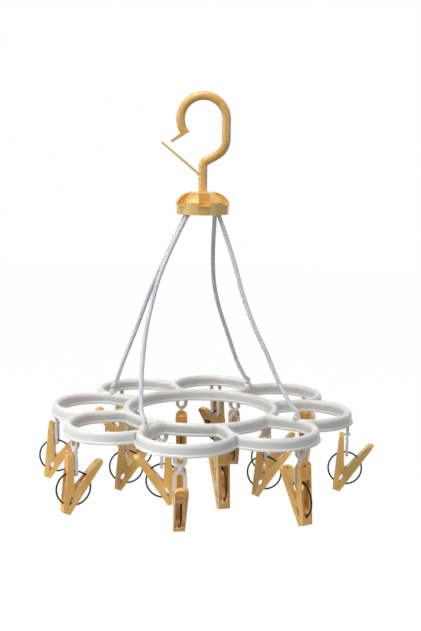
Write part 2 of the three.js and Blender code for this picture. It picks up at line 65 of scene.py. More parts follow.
# Nearly all of a noise lies in the first span, and of a noise with a share of another in the second
NOISE_SPAN = (0.34, 0.66)
GRAIN_SHARE = 0.5
SUM_SPAN = (0.5, 1.0)


class Grip(Enum):
    """What is picked in edit mode."""

    CORNERS = "VERT"
    EDGES = "EDGE"
    FACES = "FACE"


class Join(Enum):
    """How a tool body meets the piece it works on."""

    ADD = "UNION"
    CUT = "DIFFERENCE"
    KEEP = "INTERSECT"


def let_go() -> None:
    """Leave edit mode with nothing selected."""
    if bpy.context.mode != "OBJECT":
        bpy.ops.object.mode_set(mode="OBJECT")
    bpy.ops.object.select_all(action="DESELECT")


def take(*pieces: Piece) -> None:
    """Select pieces and nothing else.

    Args:
        pieces: what to select; the first of them becomes active.
    """
    let_go()
    for piece in pieces:
        piece.select_set(True)
    bpy.context.view_layer.objects.active = pieces[0]


def placed(name: str, data: bpy.types.ID) -> Piece:
    """Make an object from its data and put it in the scene.

    Args:
        name: its name.
        data: its mesh, curve, camera or lamp.

    Returns:
        The new object.
    """
    made = bpy.data.objects.new(name, data)
    bpy.context.collection.objects.link(made)
    return made


def begin(add: Callable[..., object], at: Point, turn: Point = (0, 0, 0), **sizes: object) -> Piece:
    """Add a primitive with nothing else selected and put its place into its mesh.

    Args:
        add: the operator that adds it.
        at: its middle.
        turn: its turn about X, Y and Z in degrees.
        sizes: what else the operator takes.

    Returns:
        The new object.
    """
    let_go()
    add(location=at, rotation=[math.radians(a) for a in turn], **sizes)
    bpy.ops.object.transform_apply(location=True, rotation=True, scale=True)
    return bpy.context.object


def block(size: Point, at: Point, turn: Point = (0, 0, 0)) -> Piece:
    """A box to start from, by its sides and its middle."""
    return begin(bpy.ops.mesh.primitive_cube_add, at, turn, size=1, scale=size)


def round_bar(radius: float, length: float, at: Point, turn: Point = (0, 0, 0), sides: int = 24) -> Piece:
    """A round bar to start from, upright unless it is turned."""
    return begin(bpy.ops.mesh.primitive_cylinder_add, at, turn, vertices=sides, radius=radius, depth=length)


def hoop(radius: float, at: Point, turn: Point, sides: int) -> Piece:
    """An open circle to sweep, flat unless it is turned."""
    return begin(bpy.ops.mesh.primitive_circle_add, at, turn, vertices=sides, radius=radius,
                 fill_type="NOTHING")


def turned(axis: Vector, degrees: float) -> Matrix:
    """A turn about an axis through the origin."""
    return Matrix.Rotation(math.radians(degrees), 4, axis)


@contextmanager
def shaping(piece: Piece) -> Iterator[None]:
    """Hold a piece in edit mode with all its corners selected.

    Args:
        piece: the piece to shape.
    """
    take(piece)
    bpy.ops.object.mode_set(mode="EDIT")
    bpy.ops.mesh.select_mode(type=Grip.CORNERS.value)
    bpy.ops.mesh.select_all(action="SELECT")
    yield
    bpy.ops.object.mode_set(mode="OBJECT")


def pick(piece: Piece, grip: Grip, test: Test) -> None:
    """Select the parts of a piece in edit mode that pass a test.

    Args:
        piece: the piece that is being shaped.
        grip: what is picked.
        test: takes the middle of a part and its normal, or an edge's own direction.
    """
    bpy.ops.mesh.select_mode(type=grip.value)
    bpy.ops.mesh.select_all(action="DESELECT")
    mesh = bmesh.from_edit_mesh(piece.data)
    if grip is Grip.FACES:
        chosen = [f for f in mesh.faces if test(f.calc_center_median(), f.normal)]
    elif grip is Grip.EDGES:
        chosen = [e for e in mesh.edges
                  if test((e.verts[0].co + e.verts[1].co) / 2, (e.verts[1].co - e.verts[0].co).normalized())]
    else:
        chosen = [v for v in mesh.verts if test(v.co, v.normal)]
    for part in chosen:
        part.select_set(True)
    mesh.select_flush_mode()
    bmesh.update_edit_mesh(piece.data)


def shift(by: Sequence[float]) -> None:
    """Move what is selected in edit mode."""
    bpy.ops.transform.translate(value=tuple(by))


def draw_out(by: Sequence[float]) -> None:
    """Extrude what is selected in edit mode."""
    bpy.ops.mesh.extrude_region_move(TRANSFORM_OT_translate={"value": tuple(by)})


def sweep(degrees: float, centre: Point, steps: int) -> None:
    """Spin what is selected round an axis along Y; positive goes from +X to +Z."""
    bpy.ops.mesh.spin(steps=steps, angle=math.radians(degrees), center=centre, axis=(0, 1, 0))


def part_level(z: float) -> None:
    """Cut all of a piece in edit mode along a level plane, and keep both sides."""
    bpy.ops.mesh.select_all(action="SELECT")
    bpy.ops.mesh.bisect(plane_co=(0, 0, z), plane_no=(0, 0, 1))


def narrow(piece: Piece, test: Test, by: Point) -> None:
    """Scale the corners of a piece in edit mode that pass a test, about the origin."""
    pick(piece, Grip.CORNERS, test)
    bpy.ops.transform.resize(value=by, center_override=(0, 0, 0))


def round_edges(piece: Piece, test: Test, radius: float, segments: int) -> None:
    """Round the edges of a piece in edit mode that pass a test."""
    pick(piece, Grip.EDGES, test)
    bpy.ops.mesh.bevel(offset=radius, segments=segments, affect="EDGES")


def work(piece: Piece, tool: Piece, how: Join) -> None:
    """Bring a tool body to a piece, and remove the tool.

    Args:
        piece: the piece that is worked on.
        tool: the body that is added, cut away or kept in common.
        how: which of these.
    """
    take(piece)
    change = piece.modifiers.new("work", "BOOLEAN")
    change.operation, change.object, change.solver = how.value, tool, "EXACT"
    bpy.ops.object.modifier_apply(modifier=change.name)
    bpy.data.objects.remove(tool, do_unlink=True)


def gather(pieces: Sequence[Piece]) -> Piece:
    """Join separate bodies into one object.

    Args:
        pieces: the bodies.

    Returns:
        The first of them, which holds the rest.
    """
    take(*pieces)
    bpy.ops.object.join()
    return pieces[0]


def soften(piece: Piece, width: float, steps: int = 2, angle: float = 38) -> None:
    """Round the sharp edges of a finished shape.

    Args:
        piece: the piece.
        width: how wide the rounding is.
        steps: how many faces it has.
        angle: edges that turn more than this, in degrees, are sharp.
    """
    take(piece)
    change = piece.modifiers.new("soften", "BEVEL")
    change.width, change.segments, change.limit_method = width, steps, "ANGLE"
    change.angle_limit, change.miter_outer = math.radians(angle), "MITER_ARC"
    bpy.ops.object.modifier_apply(modifier=change.name)


def close_up(piece: Piece, smooth: float = 32) -> None:
    """Merge doubles, close open ends, turn faces outwards and shade curves smooth and flats flat.

    Args:
        piece: the piece.
        smooth: faces that meet at less than this, in degrees, are shaded as one.
    """
    with shaping(piece):
        bpy.ops.mesh.remove_doubles(threshold=MERGE)
        bpy.ops.mesh.select_all(action="SELECT")
        bpy.ops.mesh.fill_holes(sides=0)
        bpy.ops.mesh.select_all(action="SELECT")
        bpy.ops.mesh.normals_make_consistent(inside=False)
    bpy.ops.object.shade_smooth_by_angle(angle=math.radians(smooth))
    change = piece.modifiers.new("even", "WEIGHTED_NORMAL")
    change.weight, change.keep_sharp = 100, True
    bpy.ops.object.modifier_apply(modifier=change.name)


def linear(colour: str) -> tuple[float, float, float, float]:
    """Turn an sRGB hex colour to linear."""
    parts = [int(colour[i:i + 2], 16) / 255 for i in (1, 3, 5)]
    return (*(c / 12.92 if c <= 0.04045 else ((c + 0.055) / 1.055) ** 2.4 for c in parts), 1.0)


def bare_tree(owner: bpy.types.Material | bpy.types.World) -> bpy.types.NodeTree:
    """Give a material or a world an empty node tree.

    Args:
        owner: what the tree belongs to.

    Returns:
        The tree.
    """
    owner.use_nodes = True
    owner.node_tree.nodes.clear()
    return owner.node_tree


def node(tree: bpy.types.NodeTree, kind: str, values: dict | None = None, links: dict | None = None,
         **settings: object) -> bpy.types.Node:
    """Add a node with its settings, values and links.

    Args:
        tree: the node tree it goes in.
        kind: its type.
        values: socket values by name or number.
        links: sockets to link from, by name or number.
        settings: other properties of the node.

    Returns:
        The new node.
    """
    made = tree.nodes.new(kind)
    for name, value in settings.items():
        setattr(made, name, value)
    for socket, value in (values or {}).items():
        made.inputs[socket].default_value = value
    for socket, source in (links or {}).items():
        tree.links.new(source, made.inputs[socket])
    return made


def per_metre(millimetres: float) -> float:
    """The scale of a pattern on Object coordinates whose features are this far apart."""
    return 1 / (millimetres * MM)


@dataclass(frozen=True)
class Finish:
    """A surface, how it was made and the slot of the record it stands for.

    The base colour drifts between two tones, roughness drifts with it, and a shallow unevenness, the
    grain, lies in the bump.
    """

    name: str
    slot: str
    tone: str
    other_tone: str
    roughness: tuple[float, float]
    ior: float
    drift_mm: float
    grain_mm: float
    grain_depth_mm: float
    drift_stretch: Point = (1, 1, 1)
    glow: float = 0.0
    glow_mm: float = 1.0

    def material(self) -> bpy.types.Material:
        """Make the finish as a node material, once.

        Returns:
            The material.
        """
        if self.name in bpy.data.materials:
            return bpy.data.materials[self.name]
        made = bpy.data.materials.new(self.name)
        tree = bare_tree(made)
        place = node(tree, "ShaderNodeTexCoord").outputs["Object"]
        stretched = node(tree, "ShaderNodeMapping", {"Scale": self.drift_stretch}, {"Vector": place})
        drift = node(tree, "ShaderNodeTexNoise", {"Scale": per_metre(self.drift_mm)},
                     {"Vector": stretched.outputs[0]}).outputs[0]
        grain = node(tree, "ShaderNodeTexNoise", {"Scale": per_metre(self.grain_mm)},
                     {"Vector": place}).outputs[0]
        spread = node(tree, "ShaderNodeMapRange", {"From Min": NOISE_SPAN[0], "From Max": NOISE_SPAN[1]},
                      {"Value": drift})
        # The colour sockets of a Mix node share their names with others, so they go by number
        colour = node(tree, "ShaderNodeMix", {6: linear(self.tone), 7: linear(self.other_tone)},
                      {0: spread.outputs[0]}, data_type="RGBA")
        fine = node(tree, "ShaderNodeMath", {1: GRAIN_SHARE}, {0: grain}, operation="MULTIPLY")
        both = node(tree, "ShaderNodeMath", links={0: drift, 1: fine.outputs[0]}, operation="ADD")
        rough = node(tree, "ShaderNodeMapRange",
                     {"From Min": SUM_SPAN[0], "From Max": SUM_SPAN[1],
                      "To Min": self.roughness[0], "To Max": self.roughness[1]}, {"Value": both.outputs[0]})
        bump = node(tree, "ShaderNodeBump", {"Strength": 1.0, "Distance": self.grain_depth_mm * MM},
                    {"Height": grain})
        shader = node(tree, "ShaderNodeBsdfPrincipled",
                      {"IOR": self.ior, "Subsurface Weight": self.glow,
                       "Subsurface Scale": self.glow_mm * MM},
                      {"Base Color": colour.outputs[2], "Roughness": rough.outputs[0],
                       "Normal": bump.outputs[0]})
        node(tree, "ShaderNodeOutputMaterial", links={"Surface": shader.outputs[0]})
        return made


# Injection-moulded ABS: bright, faintly warm white, glossy, with slow tone changes where the melt met
MOULDED_ABS = Finish("moulded_white_abs", "frame_plastic", "#F3F3F0", "#ECECE8", (0.28, 0.3), 1.53,
                     drift_mm=38, grain_mm=7, grain_depth_mm=0.005)
# Injection-moulded polypropylene coloured in the mass: honey amber, glossy, with flow streaks
AMBER_PP = Finish("moulded_amber_polypropylene", "amber_plastic", "#FFCE78", "#F7BE62", (0.22, 0.235), 1.49,
                  drift_mm=11, drift_stretch=(1, 1, 0.4), grain_mm=7, grain_depth_mm=0.005)
# The same plastic in a paler tone: painted light that stands for the glow coming through thin walls
GLOW_PAINTED_AMBER_PP = Finish("moulded_amber_polypropylene_painted_glow", "amber_plastic", "#FFD681", "#F9CA70",
                       (0.22, 0.235), 1.49, drift_mm=11, grain_mm=7, grain_depth_mm=0.005)
# Natural nylon: milky white, lets some light through at its thin bars
NATURAL_NYLON = Finish("moulded_natural_nylon", "link_plastic", "#F3F2F2", "#E9E8E9", (0.28, 0.34), 1.53,
                       drift_mm=6, grain_mm=1.6, grain_depth_mm=0.004, glow=0.2, glow_mm=1.2)
# Extruded PVC sleeve over a core: bluish white, satin, faintly rippled along its length
PVC_SLEEVE = Finish("extruded_white_pvc", "cord_plastic", "#E9EDF0", "#DDE2E7", (0.42, 0.45), 1.53,
                    drift_mm=14, drift_stretch=(1, 1, 0.35), grain_mm=7, grain_depth_mm=0.006)
# Drawn spring steel dipped in black lacquer: near black, with a soft narrow shine
BLACK_WIRE = Finish("black_lacquered_spring_steel", "spring_steel", "#131212", "#0B0A0A", (0.42, 0.48), 1.34,
                    drift_mm=2.4, grain_mm=0.8, grain_depth_mm=0.004)


def fit(piece: Piece, name: str, body: str, finish: Finish, replaced: Sequence[str] = ()) -> Piece:
    """Name and dress a finished piece, set it on its body and report it.

    Args:
        piece: the piece, in metres.
        name: its name.
        body: the body it moves with.
        finish: its surface.
        replaced: nodes of the solid model that it stands for.

    Returns:
        The piece.
    """
    piece.name = piece.data.name = name
    piece.data.materials.clear()
    piece.data.materials.append(finish.material())
    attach(piece, body)
    if replaced:
        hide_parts(*replaced)
    log.info("%s rides on %s", name, body)
    return piece


def copy_of(master: Piece, place: Matrix = HERE) -> Piece:
    """Copy a master with its own mesh, put it in place and bring it to metres.

    Args:
        master: the piece as it was modelled.
        place: where the copy goes, in millimetres.

    Returns:
        The copy.
    """
    mesh = master.data.copy()
    mesh.transform(TO_METRES @ place)
    return placed(master.name, mesh)


def discard(*masters: Piece) -> None:
    """Remove masters once their copies are made."""
    for master in masters:
        bpy.data.objects.remove(master, do_unlink=True)


def tongue(size: Point, at: Point, taper: Point, corner_r: float) -> Piece:
    """Shape a flat tongue along X that thins towards its free end, which has rounded corners.

    Args:
        size: its sides at the root.
        at: its middle; the free end is the one away from the origin.
        taper: the free end's scale about the origin.
        corner_r: radius of the free end's corners.

    Returns:
        The tongue in millimetres.
    """
    made = block(size, at)
    side = math.copysign(1, at[0])
    far = abs(at[0]) + size[0] / 2 - NEAR
    with shaping(made):
        narrow(made, lambda co, _: co.x * side > far, taper)
        round_edges(made, lambda co, way: co.x * side > far and abs(way.z) > ALONG, corner_r, segments=5)
    return made


@dataclass
class Levels:
    """Sizes that sub-assemblies share and the heights that follow, in millimetres from the pole seat."""

    rod_r: float = 4.5
    hook_inner_r: float = 19.0
    hook_side: float = 20.0
    bend_r: float = 18.5
    bend_turn: float = 61.0
    stem: float = 28.6
    hub_height: float = 23.4
    frame_drop: float = 201.5
    frame_height: float = 12.0
    crossbar_up: float = 5.0
    crossbar_r: float = 1.4
    seat_gap: float = 0.3

    @property
    def hook_r(self) -> float:
        """Radius of the hook's round top on the rod's centre line."""
        return self.hook_inner_r + self.rod_r

    @property
    def bend_centre(self) -> Point:
        """Centre of the lower bend."""
        return (self.hook_r - self.bend_r, 0, -self.hook_inner_r - self.hook_side)

    @property
    def corner(self) -> float:
        """Where the straight run after the lower bend meets the stem.

        Returns:
            The height of that corner.
        """
        turn = math.radians(self.bend_turn)
        end_x = self.bend_centre[0] + self.bend_r * math.cos(turn)
        return self.bend_centre[2] - self.bend_r * math.sin(turn) - end_x / math.tan(turn)

    @property
    def crown(self) -> float:
        """Height of the hub's crown."""
        return self.corner - self.stem

    @property
    def hub(self) -> float:
        """Height of the hub's lower edge."""
        return self.crown - self.hub_height

    @property
    def frame_top(self) -> float:
        """Height of the frame's top."""
        return self.hub - self.frame_drop

    @property
    def frame(self) -> float:
        """Height of the frame's lower edge."""
        return self.frame_top - self.frame_height

    @property
    def crossbar(self) -> float:
        """Height of the bars that the chains hang on."""
        return self.frame + self.crossbar_up


@dataclass
class SwivelHook:
    """The round-rod hook with its flat lip, and the gate strip that closes it."""

    at: Levels
    hook_turn: float = 214.0
    corner_r: float = 5.2
    edge_r: float = 0.5
    lip: Point = (21.0, 9.0, 3.6)
    lip_taper: Point = (1, 0.86, 0.62)
    lip_corner_r: float = 2.6
    gate: Point = (51.0, 7.0, 2.2)
    gate_taper: Point = (1, 0.9, 0.72)
    gate_corner_r: float = 2.4
    gate_edge_r: float = 0.4
    gate_rise: float = 39.5
    gate_drop: float = 11.5
    knuckle_r: float = 1.9
    groove_gap: float = 0.6
    head_r: float = 6.6
    head: float = 3.0
    head_chamfer: float = 0.3
    crown: float = 3.29
    washer: float = 2.4

    def gate_root(self) -> Point:
        """Where the gate leaves the stem."""
        return (-self.at.rod_r + self.knuckle_r / 2 - self.at.seat_gap, 0, self.at.corner - self.gate_drop)

    def build_rod(self) -> Piece:
        """Sweep the rod from its tip over the round top, down the side and round to the headed stem.

        Returns:
            The hook in millimetres.
        """
        at = self.at
        centre = (0, 0, -at.hook_inner_r)
        turn, bend = math.radians(self.hook_turn), math.radians(at.bend_turn)
        tip = (at.hook_r * math.cos(turn), 0, centre[2] + at.hook_r * math.sin(turn))
        rod = hoop(at.rod_r, tip, (0, -self.hook_turn, 0), sides=28)
        run = Vector((-math.sin(bend), 0, -math.cos(bend)))
        left = Vector((-run.z, 0, run.x))
        shoulder = self.corner_r * math.tan(bend / 2)
        bend_end_x = at.bend_centre[0] + at.bend_r * math.cos(bend)
        corner_from = Vector((0, 0, at.corner)) - run * shoulder
        stem_end = at.crown - self.crown - 2 * at.seat_gap - self.washer
        head = self.head_r / at.rod_r
        with shaping(rod):
            sweep(-self.hook_turn, centre, steps=56)
            draw_out((0, 0, -at.hook_side))
            sweep(-at.bend_turn, at.bend_centre, steps=18)
            draw_out(run * (bend_end_x / -run.x - shoulder))
            sweep(at.bend_turn, tuple(corner_from + left * self.corner_r), steps=10)
            draw_out((0, 0, stem_end - (at.corner - shoulder)))
            draw_out((0, 0, -self.head_chamfer))
            bpy.ops.transform.resize(value=(head, head, 1), center_override=(0, 0, stem_end))
            draw_out((0, 0, self.head_chamfer - self.head))
        close_up(rod)
        work(rod, self.build_lip(tip), Join.ADD)
        groove = round_bar(self.knuckle_r + self.groove_gap, 4 * at.rod_r, self.gate_root(), (90, 0, 0))
        work(rod, groove, Join.CUT)
        soften(rod, self.edge_r, steps=3, angle=50)
        close_up(rod)
        return rod

    def build_lip(self, tip: Point) -> Piece:
        """Shape the flat lip across the tip.

        Args:
            tip: middle of the rod's tip.

        Returns:
            The lip in millimetres.
        """
        length, _, thick = self.lip
        lip = tongue(self.lip, (length / 2 - self.at.rod_r, 0, thick / 4), self.lip_taper, self.lip_corner_r)
        lip.data.transform(Matrix.Translation(tip) @ turned(Y_AXIS, -self.hook_turn))
        return lip

    def build_gate(self) -> Piece:
        """Shape the gate strip with its rounded root.

        Returns:
            The gate in millimetres.
        """
        length, width, _ = self.gate
        strip = tongue(self.gate, (-length / 2, 0, 0), self.gate_taper, self.gate_corner_r)
        work(strip, round_bar(self.knuckle_r, width, (0, 0, 0), (90, 0, 0)), Join.ADD)
        soften(strip, self.gate_edge_r, steps=2, angle=50)
        close_up(strip)
        strip.data.transform(Matrix.Translation(self.gate_root()) @ turned(Y_AXIS, self.gate_rise))
        return strip

    def build(self) -> None:
        """Make the hook and its gate, and dress the washer that the frame already has."""
        rod, strip = self.build_rod(), self.build_gate()
        fit(copy_of(rod), "hook_rod", "hook", AMBER_PP, ["hook"])
        # The gate wears the paler amber: painted light that stands for the glow through its thin strip
        fit(copy_of(strip), "gate_strip", "gate", GLOW_PAINTED_AMBER_PP, ["hook_gate"])
        discard(rod, strip)
        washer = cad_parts["swivel_washer"]
        washer.data.materials.clear()
        washer.data.materials.append(AMBER_PP.material())


@dataclass
class HubCap:
    """The domed hub with six rimmed notches, bosses for the cords and a pocket for the swivel."""

    at: Levels
    radius: float = 26.9
    shoulder_r: float = 26.4
    skirt: float = 12.3
    ledge: float = 0.4
    dome_reach: float = 27.2
    dome_rings: int = 14
    wall: float = 2.4
    cavity: float = 8.0
    swivel_r: float = 10.5
    swivel_top: float = 20.1
    stem_gap: float = 0.35
    notches: int = 6
    first_notch: float = -67.5
    notch_floor: float = 9.6
    notch_back: float = 15.0
    notch_width: float = 11.5
    rim: float = 1.4
    rim_out: float = 1.0
    edge_r: float = 0.45
    twist: float = -11.0
    bosses: int = 4
    first_boss: float = -22.5
    boss_r: float = 3.6
    boss_at: float = 19.5
    boss_recess: float = 3.5
    boss_sunk: float = 0.5

    @property
    def dome_rise(self) -> float:
        """Half height of the ellipse that the dome is turned from, through its shoulder and its crown."""
        share = math.sqrt(1 - (self.shoulder_r / self.dome_reach) ** 2)
        return (self.at.hub_height - self.skirt) / (1 - share)

    def dome(self, grow: float = 0.0) -> Piece:
        """The solid dome on its skirt, raised ring by ring from the top of a cylinder.

        Args:
            grow: how far its skin stands out from the hub's own.

        Returns:
            The dome in millimetres, its lower edge at height 0.
        """
        dome = round_bar(self.radius + grow, self.skirt, (0, 0, self.skirt / 2), sides=96)
        radius, height = self.radius + grow - self.ledge, self.skirt
        reach, rise = self.dome_reach + grow, self.dome_rise + grow
        first = math.acos(radius / reach)
        with shaping(dome):
            pick(dome, Grip.FACES, lambda _, up: up.z > ALONG)
            bpy.ops.mesh.inset(thickness=self.ledge)
            for i in range(1, self.dome_rings + 1):
                angle = first + (math.pi / 2 - first) * i / (self.dome_rings + 1)
                next_r = reach * math.cos(angle)
                next_height = self.at.hub_height - self.dome_rise + rise * math.sin(angle)
                bpy.ops.mesh.inset(thickness=radius - next_r)
                shift((0, 0, next_height - height))
                radius, height = next_r, next_height
        return dome

    def around(self, first: float, count: int, make: Callable[[], Piece]) -> Piece:
        """Bodies spread evenly round the hub, joined to one tool.

        Args:
            first: direction of the first in degrees from the hub's twist.
            count: how many.
            make: makes one body on the +X axis.

        Returns:
            The tool.
        """
        bodies = []
        for i in range(count):
            body = make()
            body.data.transform(turned(Z_AXIS, self.twist + first + 360 / count * i))
            bodies.append(body)
        return gather(bodies)

    def notch_boxes(self, rim: float) -> Piece:
        """Boxes that fill the notches and what lies round them.

        Args:
            rim: how far they reach past the notches' own faces.

        Returns:
            The boxes as one tool.
        """
        high = self.at.hub_height
        size = (self.radius, self.notch_width + 2 * rim, high)
        middle = (self.notch_back - rim + self.radius / 2, 0, self.notch_floor - rim + high / 2)
        return self.around(self.first_notch, self.notches, lambda: block(size, middle))

    def build(self) -> None:
        """Model the hub: dome, rims, notches, hollow, bosses and the hole for the stem."""
        hub, rims = self.dome(), self.dome(self.rim_out)
        work(rims, self.notch_boxes(self.rim), Join.KEEP)
        work(hub, rims, Join.ADD)
        work(hub, self.notch_boxes(0), Join.CUT)
        soften(hub, self.edge_r, steps=2, angle=40)
        work(hub, round_bar(self.radius - self.wall, 2 * self.cavity, (0, 0, 0), sides=64), Join.CUT)
        work(hub, round_bar(self.swivel_r, 2 * self.swivel_top, (0, 0, 0), sides=48), Join.CUT)
        boss_tall = self.cavity - self.boss_recess + self.boss_sunk
        work(hub, self.around(self.first_boss, self.bosses, lambda: round_bar(
            self.boss_r, boss_tall, (self.boss_at, 0, self.boss_recess + boss_tall / 2))), Join.ADD)
        stem_hole = round_bar(self.at.rod_r + self.stem_gap, 4 * self.at.hub_height, (0, 0, 0), sides=48)
        work(hub, stem_hole, Join.CUT)
        close_up(hub, smooth=40)
        # The hub wears the paler amber: painted light that stands for the glow through its thin walls
        fit(copy_of(hub, Matrix.Translation((0, 0, self.at.hub))), "hub_dome", "hanger", GLOW_PAINTED_AMBER_PP,
            ["hub_cap"])
        discard(hub)


@dataclass
class FlowerFrame:
    """The moulded flower: eight petal loops round a centre ring, rounded on top and hollow below."""

    at: Levels
    petals: int = 8
    place_r: float = 110.4
    petal_lap: float = 2.15
    ring_r: float = 78.0
    half: float = 4.0
    wall: float = 1.2
    roof: float = 1.6
    lip_out: float = 1.4
    lip_tall: float = 2.0
    lip_soft: float = 0.35
    crown_rise: float = 4.6
    crown_flat: float = 0.5
    fillet: float = 0.35
    dimple_r: float = 1.1
    dimple_tall: float = 1.6
    crease: tuple[float, float] = (1.2, 1.1)
    crease_up: float = 3.0
    collar_out: float = 0.6
    collar_r: float = 4.0
    collar_tall: float = 3.0
    collar_sunk: float = 1.0
    collar_rim: float = 1.3
    collar_dish: float = 0.8
    collar_edge_r: float = 0.5
    walls_with_cords: tuple[float, ...] = (-22.5, 67.5, 157.5, 247.5)

    @property
    def half_petal(self) -> float:
        """Half the angle of one petal."""
        return math.pi / self.petals

    @property
    def wall_from(self) -> float:
        """Distance from a petal's middle to the walls on both sides of it."""
        return self.place_r * math.sin(self.half_petal)

    @property
    def petal_r(self) -> float:
        """Radius of a petal loop on the band's centre line."""
        return self.wall_from + self.petal_lap

    def petal_edge(self, inset: float, petal: int) -> list[Vector]:
        """Edge of one petal's hole.

        Args:
            inset: distance in from the band's centre line.
            petal: the petal's number, from 0.

        Returns:
            Points in the plane of the frame, clockwise.
        """
        points = []
        steps = 112
        inner = self.ring_r + inset
        turn = Matrix.Rotation(2 * petal * self.half_petal, 2)
        for i in range(steps):
            angle = -2 * math.pi * i / steps
            dx, dy = math.cos(angle), math.sin(angle)
            reaches = [self.petal_r - inset]
            to_wall = abs(dy) * math.cos(self.half_petal) - dx * math.sin(self.half_petal)
            if to_wall > GRAZING:
                reaches.append((self.wall_from - inset) / to_wall)
            chord = (self.place_r * dx) ** 2 - self.place_r ** 2 + inner ** 2
            if dx < 0 < chord:
                reaches.append(-self.place_r * dx - math.sqrt(chord))
            # The shortest reach counts, rounded over where two of them meet
            nearest = min(reaches)
            overlap = sum(math.exp((nearest - reach) / self.fillet) for reach in reaches)
            reach = nearest - self.fillet * math.log(overlap)
            points.append(turn @ Vector((self.place_r + reach * dx, reach * dy)))
        return points

    def outline(self, outset: float) -> list[Vector]:
        """Outline of the flower, one arc for each petal.

        Args:
            outset: distance out from the band's centre line.

        Returns:
            Points in the plane of the frame, anticlockwise.
        """
        steps = 44
        radius = self.petal_r + outset
        sine, cosine = math.sin(self.half_petal), math.cos(self.half_petal)
        cusp = self.place_r * cosine + math.sqrt(radius ** 2 - self.wall_from ** 2)
        half_arc = math.atan2(cusp * sine, cusp * cosine - self.place_r)
        points = []
        for petal in range(self.petals):
            turn = Matrix.Rotation(2 * petal * self.half_petal, 2)
            for i in range(steps):
                angle = (2 * i / steps - 1) * half_arc
                point = Vector((self.place_r + radius * math.cos(angle), radius * math.sin(angle)))
                points.append(turn @ point)
        return points

    def ring_edge(self, inset: float) -> list[Vector]:
        """Inner edge of the centre ring.

        Args:
            inset: distance in from the band's centre line.

        Returns:
            Points in the plane of the frame, clockwise.
        """
        steps = 160
        radius = self.ring_r - inset
        angles = [-2 * math.pi * i / steps for i in range(steps)]
        return [Vector((radius * math.cos(angle), radius * math.sin(angle))) for angle in angles]

    def section(self) -> list[tuple[float, float]]:
        """The band's section from the roof of its hollow round its lip to its crown.

        Returns:
            Half widths and heights.
        """
        high, soft = self.at.frame_height, self.lip_soft
        hollow = self.half - self.wall
        points = [(hollow, high - self.roof), (hollow, soft), (hollow + soft, 0),
                  (self.half + self.lip_out - soft, 0)]
        steps = 8
        for i in range(steps // 2 + 1):
            angle = math.pi * i / steps
            points.append((self.half + self.lip_out * math.cos(angle),
                           soft + self.lip_tall * math.sin(angle)))
        for i in range(steps + 1):
            angle = math.pi / 2 * i / steps
            points.append((self.crown_flat + (self.half - self.crown_flat) * math.cos(angle),
                           high - self.crown_rise * (1 - math.sin(angle))))
        return points

    def build_band(self) -> Piece:
        """Draw the band's edges at each height, bridge them and fill the crown and the roof of the hollow.

        Returns:
            The band in millimetres, its lower edge at height 0.
        """
        corners: list[Point] = []
        faces: list[tuple[int, ...]] = []
        starts: list[list[tuple[int, int]]] = []
        for half, z in self.section():
            edges = [self.outline(half), self.ring_edge(half)]
            edges += [self.petal_edge(half, petal) for petal in range(self.petals)]
            level = []
            for edge in edges:
                level.append((len(corners), len(edge)))
                corners += [(p.x, p.y, z) for p in edge]
            starts.append(level)
        for low, high in zip(starts, starts[1:]):
            for (a, count), (b, _) in zip(low, high):
                faces += [(a + i, a + (i + 1) % count, b + (i + 1) % count, b + i) for i in range(count)]
        mesh = bpy.data.meshes.new("band")
        mesh.from_pydata(corners, [], faces)
        band = placed("band", mesh)
        for name, z in (("crown", self.at.frame_height), ("hollow", self.at.frame_height - self.roof)):
            with shaping(band):
                pick(band, Grip.EDGES, lambda co, _: abs(co.z - z) < MERGE)
                bpy.ops.mesh.fill(use_beauty=True)
                log.info("filled the %s of the band", name)
        close_up(band, smooth=40)
        return band

    def stations(self) -> list[tuple[float, float]]:
        """Radius and direction in degrees of every place where a chain hangs."""
        step = 360 / self.petals
        return ([(self.place_r + self.petal_r, step * i) for i in range(self.petals)]
                + [(self.ring_r, step * (i + 0.5)) for i in range(self.petals)])

    def creases(self) -> list[Piece]:
        """Upright bars that cut the creases where the outer walls of two petals meet, above the lip.

        Returns:
            One bar for each crease.
        """
        wide, deep = self.crease
        high = self.at.frame_height
        cusp = self.outline(self.half)[0].length
        bars = []
        for petal in range(self.petals):
            bar = block((2 * deep, wide, high), (cusp, 0, self.crease_up + high / 2))
            bar.data.transform(Matrix.Rotation((2 * petal + 1) * self.half_petal, 4, Z_AXIS))
            bars.append(bar)
        return bars

    def build_collar(self) -> Piece:
        """Model the dished collar that a cord ends in.

        Returns:
            The collar in millimetres, the frame's top at height 0.
        """
        tall, sunk = self.collar_tall, self.collar_sunk
        collar = round_bar(self.collar_r, tall + sunk, (0, 0, (tall - sunk) / 2), sides=32)
        with shaping(collar):
            pick(collar, Grip.FACES, lambda _, up: up.z > ALONG)
            bpy.ops.mesh.inset(thickness=self.collar_rim)
            draw_out((0, 0, -self.collar_dish))
        soften(collar, self.collar_edge_r, steps=3)
        close_up(collar)
        return collar

